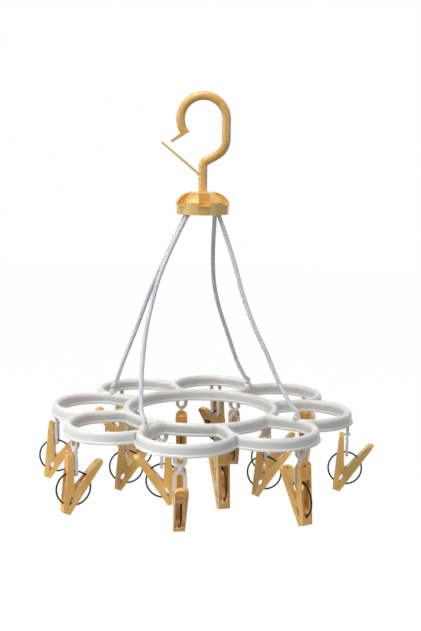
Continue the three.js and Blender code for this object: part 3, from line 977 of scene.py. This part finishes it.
    def build(self) -> None:
        """Model the frame: band, crossbars in its hollow, dimples, creases and collars for the cords."""
        band = self.build_band()
        bars, dimples = [], []
        bar_long = 2 * self.half - self.wall
        for radius, direction in self.stations():
            bar_at, dimple_at = (radius, 0, self.at.crossbar_up), (radius, 0, self.at.frame_height)
            bars.append(round_bar(self.at.crossbar_r, bar_long, bar_at, (0, 90, 0), sides=12))
            dimples.append(round_bar(self.dimple_r, self.dimple_tall, dimple_at, sides=16))
            for tool in (bars[-1], dimples[-1]):
                tool.data.transform(turned(Z_AXIS, direction))
        work(band, gather(bars), Join.ADD)
        work(band, gather(dimples), Join.CUT)
        work(band, gather(self.creases()), Join.CUT)
        close_up(band, smooth=40)
        fit(copy_of(band, Matrix.Translation((0, 0, self.at.frame))), "flower_band", "hanger", MOULDED_ABS,
            ["flower_frame"])
        collar = self.build_collar()
        out = Matrix.Translation((self.place_r + self.collar_out, 0, self.at.frame_top))
        for number, direction in enumerate(self.walls_with_cords, 1):
            place = turned(Z_AXIS, direction) @ out
            fit(copy_of(collar, place), f"cord_collar_{number}", "hanger", MOULDED_ABS)
        discard(band, collar)


@dataclass(frozen=True)
class CordRoute:
    """One cord's way in the plane of its own wall: share of the way out, offset to the side, height."""

    wall: float
    points: tuple[Point, ...]


@dataclass
class SuspensionCords:
    """The four sleeved cords from the hub's bosses down to the collars on the frame."""

    at: Levels
    hub: HubCap
    flower: FlowerFrame
    diameter: float = 4.5
    pieces: int = 30
    routes: tuple[CordRoute, ...] = (
        CordRoute(-22.5, ((0.042, -3.4, 196), (0.222, -4, 154.5), (0.352, -5.4, 120), (0.499, -5, 89),
                          (0.652, -3.8, 62.5), (0.782, -3, 37), (0.956, -0.8, 11))),
        CordRoute(67.5, ((0.037, -2, 196), (0.156, 5.5, 160), (0.298, 11, 125.5), (0.445, 12, 97.5),
                         (0.635, 9, 63), (0.82, 5, 28.5), (0.962, 1, 10))),
        CordRoute(157.5, ((0.047, -3, 196), (0.314, -0.6, 147), (0.467, 0, 118.5), (0.679, 0.2, 72),
                          (0.853, 1, 35), (0.962, 0.4, 11))),
        CordRoute(247.5, ((0.053, -7, 196), (0.379, -17, 144.5), (0.521, -18.2, 118.5), (0.657, -17.6, 92),
                          (0.777, -14.8, 64), (0.875, -10.8, 41), (0.973, -4.6, 14))),
    )

    def way(self, route: CordRoute) -> list[Vector]:
        """The points a cord passes through, in metres.

        Args:
            route: the cord's own route.

        Returns:
            Its points from the hub down to the frame.
        """
        twist = math.radians(self.hub.twist)
        boss = (self.hub.boss_at * math.cos(twist), self.hub.boss_at * math.sin(twist))
        collar = self.flower.place_r + self.flower.collar_out
        seat = self.at.frame_drop + self.hub.boss_recess - self.at.seat_gap
        end = self.flower.collar_tall + self.at.seat_gap
        points = [(*boss, seat)]
        points += [(boss[0] + share * (collar - boss[0]), side, up) for share, side, up in route.points]
        points += [(collar, 0, end + self.diameter), (collar, 0, end)]
        place = TO_METRES @ Matrix.Translation((0, 0, self.at.frame_top)) @ turned(Z_AXIS, route.wall)
        return [place @ Vector(p) for p in points]

    @staticmethod
    def smooth(points: list[Vector], count: int) -> list[Vector]:
        """One smooth curve through points, its corners shared out by the root of their distance.

        Args:
            points: what the curve passes through.
            count: how many points to return.

        Returns:
            Points along the curve.
        """
        ends = [2 * points[0] - points[1], *points, 2 * points[-1] - points[-2]]
        made = []
        spans = len(points) - 1
        for k in range(count):
            t = k / (count - 1) * spans
            i = min(int(t), spans - 1)
            a, b, c, d = ends[i:i + 4]
            before, gap, after = ((q - p).length ** 0.5 for p, q in ((a, b), (b, c), (c, d)))
            out = ((b - a) / before - (c - a) / (before + gap) + (c - b) / gap) * gap
            into = ((c - b) / gap - (d - b) / (gap + after) + (d - c) / after) * gap
            s = t - i
            made.append(b * (2 * s ** 3 - 3 * s ** 2 + 1) + out * (s ** 3 - 2 * s ** 2 + s)
                        + c * (3 * s ** 2 - 2 * s ** 3) + into * (s ** 3 - s ** 2))
        return made

    def build(self) -> None:
        for number, route in enumerate(self.routes, 1):
            name = f"suspension_cord_{number}"
            points = self.smooth(self.way(route), self.pieces)
            curve = bpy.data.curves.new(name, "CURVE")
            curve.dimensions, curve.use_fill_caps = "3D", True
            curve.bevel_depth, curve.bevel_resolution = self.diameter / 2 * MM, 5
            line = curve.splines.new("POLY")
            line.points.add(len(points) - 1)
            for knot, point in zip(line.points, points):
                knot.co = (*point, 1)
            line.use_smooth = True
            piece = fit(placed(name, curve), name, "hanger", PVC_SLEEVE, [f"cord_{number}"])


@dataclass
class LinkChain:
    """An upper link that hangs on a crossbar and a lower link that turns on its neck and carries a clip."""

    at: Levels
    width: float = 13.4
    thick: float = 2.8
    bar: float = 2.8
    opening: float = 6.2
    opening_up: float = 3.0
    opening_r: float = 2.3
    waist: float = 5.6
    shoulder_up: float = 4.2
    shoulder_r: float = 2.2
    top_r: float = 4.4
    edge_r: float = 0.55
    upper_pitch: float = 19.9
    lower_pitch: float = 23.1
    neck_r: float = 1.5
    neck_tall: float = 5.0
    neck_up: float = 0.5
    eye_r: float = 3.3
    eye_tall: float = 1.7
    eye_up: float = 0.4

    @property
    def upper_top(self) -> float:
        """Middle of the upper link's bar, above the crossbar's middle."""
        return self.at.crossbar_r + self.at.seat_gap + self.bar / 2

    @property
    def join_drop(self) -> float:
        """Middle of the joint, below the crossbar's middle."""
        return self.upper_pitch - self.upper_top

    def build_link(self, pitch: float, end: Piece) -> Piece:
        """Model a flat link, wide end up: a plate with rounded shoulders that narrows to its joint.

        Args:
            pitch: from the middle of its bar down to the middle of the joint, which is at the origin.
            end: its own part of the joint.

        Returns:
            The link in millimetres, in the YZ plane.
        """
        top, foot = pitch + self.bar / 2, self.eye_tall
        shoulder = foot + self.shoulder_up
        link = block((self.thick, self.width, top - foot), (0, 0, (top + foot) / 2))
        with shaping(link):
            part_level(shoulder)
            narrow(link, lambda co, _: co.z < foot + NEAR, (1, self.waist / self.width, 1))
            round_edges(link, lambda co, way: abs(way.x) > ALONG and co.z > top - NEAR,
                        self.top_r, segments=6)
            round_edges(link, lambda co, way: abs(way.x) > ALONG and abs(co.z - shoulder) < NEAR,
                        self.shoulder_r, segments=4)
        low, high = foot + self.opening_up, top - self.bar
        hole = block((4 * self.thick, self.opening, high - low), (0, 0, (low + high) / 2))
        with shaping(hole):
            round_edges(hole, lambda _, way: abs(way.x) > ALONG, self.opening_r, segments=5)
        work(link, hole, Join.CUT)
        work(link, end, Join.ADD)
        soften(link, self.edge_r, steps=3)
        close_up(link, smooth=50)
        return link

    def build_upper(self) -> Piece:
        """Model the upper link with the neck that the lower link turns on.

        Returns:
            The link in millimetres, the crossbar's middle at the origin.
        """
        neck = round_bar(self.neck_r, self.neck_tall, (0, 0, self.neck_up))
        link = self.build_link(self.upper_pitch, neck)
        link.data.transform(Matrix.Translation((0, 0, -self.join_drop)))
        return link

    def build_lower(self) -> Piece:
        """Model the lower link, wide end down, with the eye round the neck.

        Returns:
            The link in millimetres, the joint's middle at the origin.
        """
        eye = round_bar(self.eye_r, self.eye_tall, (0, 0, self.eye_tall / 2 + self.eye_up), sides=28)
        link = self.build_link(self.lower_pitch, eye)
        link.data.transform(turned(X_AXIS, 180))
        return link


@dataclass
class SprungClip:
    """A clothes clip in the frame of its closed jaws: two channel legs and the ring spring through both."""

    width: float = 13.0
    length: float = 59.5
    lean: float = 20.0
    fulcrum: float = 25.0
    flare: float = 22.0
    back_flare: float = 14.4
    jaw_half: float = 0.15
    jaw_thick: float = 3.8
    jaw_share: float = 0.86
    teeth: tuple[float, ...] = (1.6, 3.1, 4.6)
    tooth_r: float = 0.45
    throat_rise: float = 2.6
    throat_half: float = 1.6
    mouth: tuple[float, float, float] = (9.0, 18.6, 1.6)
    floor_from: float = 2.6
    web: float = 2.0
    flange: float = 1.5
    channel: tuple[float, float] = (3.8, 43.0)
    first_sink: float = 1.0
    window: Point = (4.2, 7.0, 10.0)
    window_at: Point = (3.9, 0, 19.8)
    wire_slot: Point = (9.0, 3.6, 9.5)
    wire_slot_up: float = 37.6
    wire_slot_out: float = 1.0
    foot_slot: Point = (9.0, 3.0, 4.0)
    pad_low: float = 43.3
    pad_rim: float = 1.3
    pad_deep: float = 1.3
    pad_r: float = 5.2
    rib: Point = (2.2, 8.6, 1.5)
    rib_in: float = 1.0
    ribs: tuple[float, ...] = (46.1, 49.2, 52.3)
    string_hole_r: float = 1.4
    string_hole_long: float = 12.0
    string_hole_up: float = 55.4
    string_hole_in: float = 3.0
    edge_r: float = 0.3
    edge_angle: float = 42.0
    spring_r: float = 17.3
    wire: float = 1.5
    lacquered: float = 1.8
    spring_root: float = 166.0
    spring_end: float = 158.0
    link_half: float = 1.4
    link_gap: float = 1.4

    def inside(self, z: float) -> float:
        """Inner face of the finger end at a height."""
        return self.throat_half + (z - self.fulcrum - self.throat_rise) * math.tan(math.radians(self.flare))

    def outside(self, z: float) -> float:
        """Outer face of the leg at a height."""
        return self.jaw_thick + z * math.tan(math.radians(self.back_flare))

    def ring_point(self, degrees: float) -> Point:
        """Where the ring spring's line passes, at an angle from its top."""
        angle = math.radians(degrees)
        return (self.spring_r * math.sin(angle), 0, self.fulcrum + self.spring_r * math.cos(angle))

    @property
    def throat_reach(self) -> float:
        """Distance of the finger end's inner face from the ring's centre."""
        flare = math.radians(self.flare)
        return self.throat_half * math.cos(flare) - self.throat_rise * math.sin(flare)

    @property
    def hang_angle(self) -> float:
        """Angle from the ring's top to the point that lies on the link."""
        side = self.link_half + self.link_gap - self.throat_reach
        return math.radians(self.flare) - math.asin(side / self.spring_r)

    def from_hanger(self) -> Matrix:
        """From the frame of the jaws to the point where the ring lies on its link, leaning as it hangs."""
        angle = self.hang_angle
        return turned(Y_AXIS, self.lean) @ Matrix.Translation(
            (self.spring_r * math.sin(angle), 0, -self.fulcrum - self.spring_r * math.cos(angle)))

    def rough_leg(self) -> Piece:
        """Lean a box to the leg's side outline, narrow it to the jaw and round its finger end.

        Returns:
            The plain leg in millimetres, on the +X side of the jaw line.
        """
        top, throat = self.length, self.fulcrum + self.throat_rise
        # The box starts with this half thickness, which tells its inner corners from its outer ones
        half = 1
        leg = block((2 * half, self.width, top), (0, 0, top / 2))
        with shaping(leg):
            for z, inner, outer in ((0, self.jaw_half, self.jaw_thick),
                                    (top, self.inside(top), self.outside(top))):
                for face, x in ((-half, inner), (half, outer)):
                    pick(leg, Grip.CORNERS, lambda co, _: abs(co.z - z) < NEAR and co.x == face)
                    shift((x - face, 0, 0))
            narrow(leg, lambda co, _: co.z < NEAR, (1, self.jaw_share, 1))
            for z, inner in ((self.fulcrum - self.jaw_half, self.jaw_half), (throat, self.throat_half)):
                part_level(z)
                pick(leg, Grip.CORNERS, lambda co, _: abs(co.z - z) < NEAR and co.x < self.outside(z) - NEAR)
                now = min(v.co.x for v in bmesh.from_edit_mesh(leg.data).verts if v.select)
                shift((inner - now, 0, 0))
            round_edges(leg, lambda co, way: co.z > top - NEAR and abs(way.x) > ALONG,
                        self.pad_r, segments=8)
        return leg

    def hollow_back(self, leg: Piece) -> None:
        """Sink the channel into a leg's back and a shallow field into its finger pad.

        Args:
            leg: the plain leg.
        """
        back = math.radians(self.back_flare)
        out = Vector((math.cos(back), 0, -math.sin(back)))
        low, high = self.channel
        sunk = self.first_sink / math.cos(back)
        rows = (low + self.flange, self.fulcrum - self.jaw_half, self.fulcrum + self.throat_rise,
                high - self.flange)
        with shaping(leg):
            for z in (low, high, self.pad_low):
                part_level(z)
            pick(leg, Grip.FACES, lambda co, way: way.dot(out) > SQUARE and low < co.z < high)
            bpy.ops.mesh.inset(thickness=self.flange, use_even_offset=True)
            draw_out(out * -self.first_sink)
            # The floor of the channel then goes to its own depth, row by row
            for row in rows:
                floor = max(self.floor_from + self.web,
                            self.inside(row) + self.web / math.cos(math.radians(self.flare)))
                pick(leg, Grip.CORNERS, lambda co, _: abs(co.z - row) < self.first_sink
                     and abs(co.y) < self.width / 2 - self.flange
                     and abs(co.x - self.outside(co.z) + sunk) < 2 * NEAR)
                shift((floor + sunk - self.outside(row), 0, 0))
            pick(leg, Grip.FACES, lambda co, way: way.dot(out) > SQUARE and co.z > self.pad_low)
            bpy.ops.mesh.inset(thickness=self.pad_rim, use_even_offset=True)
            draw_out(out * -self.pad_deep)

    def build_leg(self) -> Piece:
        """Model one leg: outline, channel, pad with ribs and string hole, mouth, window and wire slots.

        Returns:
            The moving leg in millimetres; turned round, it is the hanging leg.
        """
        leg = self.rough_leg()
        self.hollow_back(leg)
        low, high, deep = self.mouth
        foot_angle = 180 - math.degrees(math.asin(self.floor_from / self.spring_r))
        mouth = round_bar((high - low) / 2, 2 * self.width, (0, 0, (low + high) / 2), (90, 0, 0), sides=32)
        mouth.data.transform(Matrix.Scale(2 * deep / (high - low), 4, X_AXIS))
        slot_at = (self.inside(self.wire_slot_up) + self.wire_slot_out, 0, self.wire_slot_up)
        hole_at = (self.outside(self.string_hole_up) - self.string_hole_in, 0, self.string_hole_up)
        cuts = [
            block(self.wire_slot, slot_at, (0, self.flare, 0)),
            block(self.foot_slot, self.ring_point(foot_angle), (0, foot_angle, 0)),
            block(self.window, self.window_at),
            round_bar(self.string_hole_r, self.string_hole_long, hole_at, (0, 90 + self.back_flare, 0)),
            mouth,
            gather([round_bar(self.tooth_r, 2 * self.width, (0, 0, z), (90, 0, 0), sides=8)
                    for z in self.teeth]),
        ]
        for cut in cuts:
            work(leg, cut, Join.CUT)
        ribs = [block(self.rib, (self.outside(z) - self.rib_in, 0, z), (0, self.back_flare, 0))
                for z in self.ribs]
        work(leg, gather(ribs), Join.ADD)
        soften(leg, self.edge_r, steps=2, angle=self.edge_angle)
        close_up(leg, smooth=self.edge_angle)
        return leg

    def build_spring(self) -> Piece:
        """Wind the ring spring from its foot in the hanging leg over the top to its other end.

        Returns:
            The spring in millimetres.
        """
        ring = hoop(self.lacquered / 2, self.ring_point(-self.spring_root), (0, 90 - self.spring_root, 0),
                    sides=10)
        with shaping(ring):
            sweep(-(self.spring_root + self.spring_end), (0, 0, self.fulcrum), steps=72)
        close_up(ring, smooth=60)
        return ring


@dataclass
class ClipSet:
    """All clips on their chains, under the petals' outer ends and under the centre ring."""

    at: Levels
    flower: FlowerFrame
    chain: LinkChain
    clip: SprungClip
    hang_gap: float = 0.6
    petal_turns: tuple[float, ...] = (-1, 35, 150, 35, -176, 165, 12, 172)
    ring_turns: tuple[float, ...] = (-15, -150, -15, -140, 165, -60, 180, 20)

    def build(self) -> None:
        """Model each piece once and hang its copies at every station."""
        upper, lower = self.chain.build_upper(), self.chain.build_lower()
        leg, ring = self.clip.build_leg(), self.clip.build_spring()
        join_drop = self.chain.join_drop
        hang_drop = (join_drop + self.chain.lower_pitch - self.chain.bar / 2 - self.hang_gap
                     - self.clip.wire / 2)
        names = ([f"petal_{i + 1}" for i in range(len(self.petal_turns))]
                 + [f"ring_{i + 1}" for i in range(len(self.ring_turns))])
        turns = self.petal_turns + self.ring_turns
        for name, (radius, direction), turn in zip(names, self.flower.stations(), turns):
            station = turned(Z_AXIS, direction) @ Matrix.Translation((radius, 0, self.at.crossbar))
            facing = turned(Z_AXIS, turn)
            hung = station @ Matrix.Translation((0, 0, -hang_drop)) @ facing @ self.clip.from_hanger()
            joint = station @ Matrix.Translation((0, 0, -join_drop)) @ facing
            fit(copy_of(upper, station), f"upper_link_{name}", f"chain_{name}", NATURAL_NYLON,
                [f"link_chain_{name}"])
            fit(copy_of(lower, joint), f"lower_link_{name}", f"chain_{name}", NATURAL_NYLON)
            fit(copy_of(leg, hung @ turned(Z_AXIS, 180)), f"fixed_leg_{name}", f"clip_{name}", AMBER_PP,
                [f"hanging_leg_{name}"])
            fit(copy_of(ring, hung), f"ring_spring_{name}", f"clip_{name}", BLACK_WIRE)
            fit(copy_of(leg, hung), f"loose_leg_{name}", f"jaw_{name}", AMBER_PP, [f"moving_leg_{name}"])
        discard(upper, lower, leg, ring)


@dataclass(frozen=True)
class Softbox:
    """One soft studio lamp; one that isn't mirrored lights the part but leaves no image in its gloss."""

    name: str
    at: Point
    aim: Point
    size: float
    watts: float
    spread: float = 180.0
    mirrored: bool = True


@dataclass
class Studio:
    """Camera, soft lamps, pale floor and white surroundings."""

    image_tall: int = 631
    focal_px: float = 1098.0
    sensor_mm: float = 36.0
    distance: float = 1.131
    azimuth: float = 6.7
    yaw: float = 0.48
    pitch: float = 8.8
    roll: float = 0.7
    eye_above_frame: float = 0.271
    floor_size: float = 14.0
    floor_drop: float = 0.95
    floor_tone: str = "#5E5E5C"
    floor_glow: str = "#FDFDFD"
    surround_tone: str = "#FFFFFF"
    surround: float = 0.1
    lamps: tuple[Softbox, ...] = (
        Softbox("overhead_softbox", (-0.5, -0.5, 1.1), (0, 0, -0.3), 0.9, 13.0),
        Softbox("ceiling_softbox", (-0.1, 0.0, 1.2), (-0.1, 0, -0.3), 1.0, 4.0),
        Softbox("front_softbox", (-0.7, -1.4, -0.38), (-0.05, 0, -0.62), 0.4, 0.58, 32.0, False),
        Softbox("left_softbox", (-1.5, -0.6, 0.0), (0, 0, -0.3), 0.9, 7.2),
        Softbox("right_softbox", (1.3, -1.0, 0.1), (0, 0, -0.2), 0.6, 5.0),
        Softbox("back_softbox", (0.7, 1.7, 0.5), (0, 0, -0.3), 0.6, 8.0, 180.0, False),
    )

    def build_camera(self, frame_top: float) -> None:
        """Set the camera where the photograph was taken from.

        Args:
            frame_top: height of the frame's top in metres.
        """
        lens = bpy.data.cameras.new("photo_camera")
        lens.sensor_fit, lens.sensor_width = "AUTO", self.sensor_mm
        lens.lens = self.focal_px / self.image_tall * self.sensor_mm
        camera = placed("photo_camera", lens)
        side = math.radians(self.azimuth)
        place = Matrix.Translation((self.distance * math.sin(side), -self.distance * math.cos(side),
                                    frame_top + self.eye_above_frame))
        camera.matrix_world = (place @ turned(Z_AXIS, self.azimuth - self.yaw)
                               @ turned(X_AXIS, 90 - self.pitch) @ turned(Z_AXIS, self.roll))
        bpy.context.scene.camera = camera

    def build_lamps(self) -> None:
        """Hang the soft lamps."""
        for box in self.lamps:
            light = bpy.data.lights.new(box.name, "AREA")
            light.shape, light.size, light.energy = "SQUARE", box.size, box.watts
            light.spread = math.radians(box.spread)
            lamp = placed(box.name, light)
            lamp.visible_glossy = box.mirrored
            lamp.location = box.at
            lamp.rotation_euler = (Vector(box.aim) - Vector(box.at)).to_track_quat("-Z", "Y").to_euler()

    def build_floor(self) -> None:
        """Lay the pale floor, which shows white to the eye but keeps the shadow."""
        floor = begin(bpy.ops.mesh.primitive_plane_add, (0, 0, -self.floor_drop), size=self.floor_size)
        floor.name = floor.data.name = "studio_floor"
        paper = bpy.data.materials.new("matt_studio_paper")
        tree = bare_tree(paper)
        glow = node(tree, "ShaderNodeEmission", {"Color": linear(self.floor_glow)},
                    {"Strength": self.seen(tree)})
        matt = node(tree, "ShaderNodeBsdfDiffuse", {"Color": linear(self.floor_tone)})
        both = node(tree, "ShaderNodeAddShader", links={0: matt.outputs[0], 1: glow.outputs[0]})
        node(tree, "ShaderNodeOutputMaterial", links={"Surface": both.outputs[0]})
        floor.data.materials.append(paper)

    @staticmethod
    def seen(tree: bpy.types.NodeTree) -> bpy.types.NodeSocket:
        """Tell the rays that show the background from those that light the part.

        Args:
            tree: the node tree that asks.

        Returns:
            One where a ray comes from the camera, a reflection or through glass, and zero elsewhere.
        """
        path = node(tree, "ShaderNodeLightPath").outputs
        mirrored = node(tree, "ShaderNodeMath", links={0: path["Is Camera Ray"], 1: path["Is Glossy Ray"]},
                        operation="MAXIMUM")
        return node(tree, "ShaderNodeMath", links={0: mirrored.outputs[0], 1: path["Is Transmission Ray"]},
                    operation="MAXIMUM").outputs[0]

    def build_surround(self) -> None:
        """White surroundings to the eye, at a plain level as light."""
        scene = bpy.context.scene
        scene.world = bpy.data.worlds.new("studio_surround")
        tree = bare_tree(scene.world)
        level = node(tree, "ShaderNodeMapRange", {"To Min": self.surround, "To Max": 1.0},
                     {"Value": self.seen(tree)})
        air = node(tree, "ShaderNodeBackground", {"Color": linear(self.surround_tone)},
                   {"Strength": level.outputs[0]})
        node(tree, "ShaderNodeOutputWorld", links={"Surface": air.outputs[0]})
        scene.view_settings.view_transform = "Standard"

    def build(self, at: Levels) -> None:
        """Set up camera, lamps, floor and surroundings.

        Args:
            at: the heights of the part.
        """
        self.build_camera(at.frame_top * MM)
        self.build_lamps()
        self.build_floor()
        self.build_surround()


def main() -> None:
    """Build the studio and every sub-assembly."""
    logging.basicConfig(level=logging.INFO, format="%(message)s")
    at = Levels()
    Studio().build(at)
    hub, flower = HubCap(at), FlowerFrame(at)
    SuspensionCords(at, hub, flower).build()
    flower.build()
    hub.build()
    SwivelHook(at).build()
    ClipSet(at, flower, LinkChain(at), SprungClip()).build()


if __name__ == "__main__":
    main()
